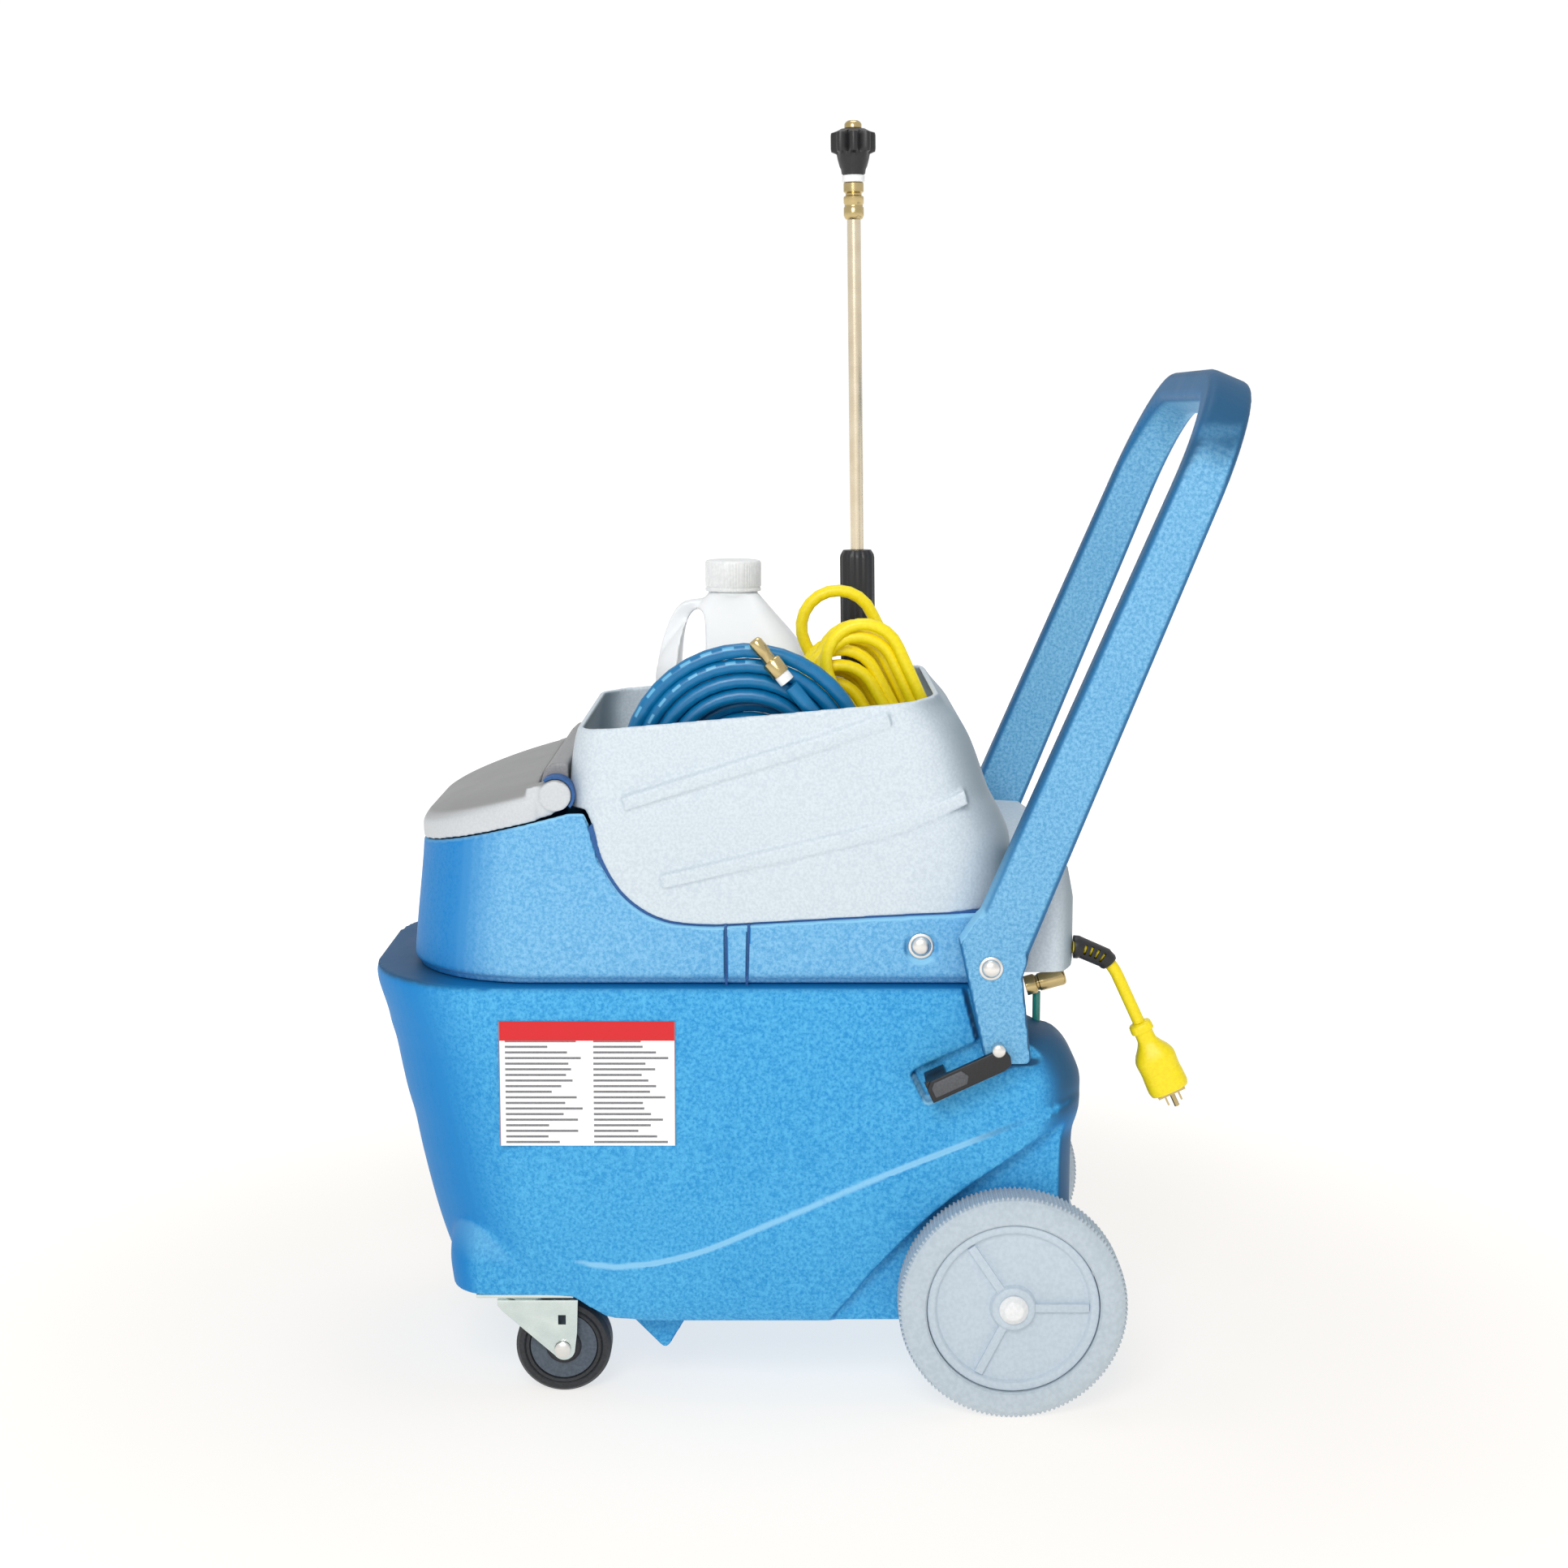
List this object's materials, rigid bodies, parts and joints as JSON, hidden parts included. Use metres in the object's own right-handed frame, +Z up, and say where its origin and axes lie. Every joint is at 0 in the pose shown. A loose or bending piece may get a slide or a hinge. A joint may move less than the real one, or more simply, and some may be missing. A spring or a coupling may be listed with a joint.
{
  "type": "carpet cleaner machine",
  "caption": "Wheeled carpet cleaner with stacked solution and recovery tanks, storage bin, folding handle, casters, and stowed hose, cord, jug and wand.",
  "frame": {"origin": "on the floor, below the middle of the machine's overall length and width", "axes": "+X to the rear, where the handle is; +Y to the right-hand side when pushing it forwards along -X; +Z up"},
  "size_m": [0.788, 0.452, 1.1555],
  "materials": {
    "blue_shell": "speckled rotomoulded polyethylene",
    "grey_shell": "fine-grained moulded plastic",
    "lid_shell": "fine-grained moulded plastic",
    "black_plastic": "satin moulded plastic",
    "chrome_bolts": "polished",
    "wheel_plastic": "satin moulded plastic",
    "wheel_tyre": "non-marking, finely ribbed tread",
    "white_plastic": "satin",
    "jug_plastic": "translucent blow-moulded polyethylene",
    "zinc_steel": "bright zinc plate",
    "caster_rubber": "moulded rubber tread on a dark centre",
    "brass": "turned, lightly polished",
    "yellow_cord": "smooth flexible jacket",
    "hose_jacket": "smooth hose jacket with light printed dashes",
    "sight_tube": "translucent",
    "float_plastic": "satin",
    "label_film": "printed film, blank bars in place of text"
  },
  "bodies": {
    "chassis": {"lower_tank": "blue_shell", "upper_body": "blue_shell", "storage_bin": "grey_shell", "switch_housing": "grey_shell", "strain_relief": "black_plastic", "latch_base_left": "black_plastic", "latch_base_right": "black_plastic", "vacuum_motor": "black_plastic", "solution_pump": "black_plastic", "handle_pivot_bolt_left": "chrome_bolts", "handle_pivot_bolt_right": "chrome_bolts", "body_bolt_left": "chrome_bolts", "body_bolt_right": "chrome_bolts", "axle_cap_left": "white_plastic", "axle_cap_right": "white_plastic", "standpipe": "white_plastic", "rear_axle": "zinc_steel", "caster_plate_left": "zinc_steel", "caster_plate_right": "zinc_steel", "solution_outlet": "brass", "plug_prongs": "brass", "hose_fitting": "brass", "hose_coupling": "brass", "power_cord": "yellow_cord", "plug_body": "yellow_cord", "extension_cord": "yellow_cord", "extension_plug": "yellow_cord", "extension_socket": "yellow_cord", "hose_coil": "hose_jacket", "sight_tube": "sight_tube", "side_label": "label_film"},
    "handle": {"handle": "blue_shell"},
    "wheel_left": {"wheel_tyre_left": "wheel_tyre", "wheel_hub_left": "wheel_plastic"},
    "wheel_right": {"wheel_tyre_right": "wheel_tyre", "wheel_hub_right": "wheel_plastic"},
    "caster_fork_left": {"caster_fork_left": "zinc_steel", "caster_axle_left": "zinc_steel"},
    "caster_fork_right": {"caster_fork_right": "zinc_steel", "caster_axle_right": "zinc_steel"},
    "caster_wheel_left": {"caster_wheel_left": "caster_rubber"},
    "caster_wheel_right": {"caster_wheel_right": "caster_rubber"},
    "lid": {"recovery_tank_lid": "lid_shell"},
    "latch_left": {"latch_lever_left": "black_plastic"},
    "latch_right": {"latch_lever_right": "black_plastic"},
    "power_switch": {"power_switch": "black_plastic"},
    "vacuum_switch": {"vacuum_switch": "black_plastic"},
    "pump_switch": {"pump_switch": "black_plastic"},
    "wand": {"wand_valve": "black_plastic", "wand_grip": "black_plastic", "wand_tube": "brass", "wand_coupling": "brass", "wand_collar": "white_plastic"},
    "wand_trigger": {"wand_trigger": "black_plastic"},
    "wand_nozzle": {"wand_nozzle": "black_plastic", "wand_tip": "brass"},
    "jug": {"jug": "jug_plastic"},
    "jug_cap": {"jug_cap": "jug_plastic"},
    "float": {"shutoff_float": "float_plastic"}
  },
  "joints": [
    {"name": "handle_fold", "type": "hinge", "parent": "chassis", "child": "handle", "pos_m": [0.163, 0, 0.408], "axis": [0, -1, 0], "range_deg": [0, 27]},
    {"name": "wheel_spin_left", "type": "hinge", "parent": "chassis", "child": "wheel_left", "pos_m": [0.186, -0.2, 0.1016], "axis": [0, 1, 0], "continuous": true},
    {"name": "wheel_spin_right", "type": "hinge", "parent": "chassis", "child": "wheel_right", "pos_m": [0.186, 0.2, 0.1016], "axis": [0, 1, 0], "continuous": true},
    {"name": "caster_swivel_left", "type": "hinge", "parent": "chassis", "child": "caster_fork_left", "pos_m": [-0.251, -0.142, 0.091], "axis": [0, 0, 1], "continuous": true},
    {"name": "caster_swivel_right", "type": "hinge", "parent": "chassis", "child": "caster_fork_right", "pos_m": [-0.251, 0.142, 0.091], "axis": [0, 0, 1], "continuous": true},
    {"name": "caster_roll_left", "type": "hinge", "parent": "caster_fork_left", "child": "caster_wheel_left", "pos_m": [-0.218, -0.142, 0.0435], "axis": [0, 1, 0], "continuous": true},
    {"name": "caster_roll_right", "type": "hinge", "parent": "caster_fork_right", "child": "caster_wheel_right", "pos_m": [-0.218, 0.142, 0.0435], "axis": [0, 1, 0], "continuous": true},
    {"name": "lid_lift", "type": "slide", "parent": "chassis", "child": "lid", "axis": [-0.2507, 0, 0.9681], "range_m": [0, 0.15]},
    {"name": "latch_swing_left", "type": "hinge", "parent": "chassis", "child": "latch_left", "pos_m": [0.10956, -0.216, 0.29794], "axis": [0.4226, 0, -0.9063], "range_deg": [0, 100]},
    {"name": "latch_swing_right", "type": "hinge", "parent": "chassis", "child": "latch_right", "pos_m": [0.10956, 0.216, 0.29794], "axis": [-0.4226, 0, 0.9063], "range_deg": [0, 100]},
    {"name": "power_switch_rock", "type": "hinge", "parent": "chassis", "child": "power_switch", "pos_m": [0.24, -0.034, 0.448], "axis": [0, 1, 0], "range_deg": [-7, 7]},
    {"name": "vacuum_switch_rock", "type": "hinge", "parent": "chassis", "child": "vacuum_switch", "pos_m": [0.24, 0, 0.448], "axis": [0, 1, 0], "range_deg": [-7, 7]},
    {"name": "pump_switch_rock", "type": "hinge", "parent": "chassis", "child": "pump_switch", "pos_m": [0.24, 0.034, 0.448], "axis": [0, 1, 0], "range_deg": [-7, 7]},
    {"name": "wand_lift", "type": "slide", "parent": "chassis", "child": "wand", "axis": [-0.014, 0, 0.9999], "range_m": [0, 0.3]},
    {"name": "trigger_squeeze", "type": "hinge", "parent": "wand", "child": "wand_trigger", "pos_m": [0.07239, 0.06, 0.57323], "axis": [0, 1, 0], "range_deg": [0, 4.5], "stiffness_Nm_per_rad": 0.5, "springref_deg": -5.73},
    {"name": "nozzle_twist", "type": "hinge", "parent": "wand", "child": "wand_nozzle", "pos_m": [0.04779, 0.06, 1.11794], "axis": [-0.014, 0, 0.9999], "range_deg": [-90, 90]},
    {"name": "jug_lift", "type": "slide", "parent": "chassis", "child": "jug", "axis": [0, 0, 1], "range_m": [0, 0.25]},
    {"name": "cap_turn", "type": "hinge", "parent": "jug", "child": "jug_cap", "pos_m": [-0.066, 0.07, 0.73], "axis": [0, 0, 1], "range_deg": [0, 540]},
    {"name": "float_rise", "type": "slide", "parent": "chassis", "child": "float", "axis": [0, 0, 1], "range_m": [0, 0.24]}
  ]
}
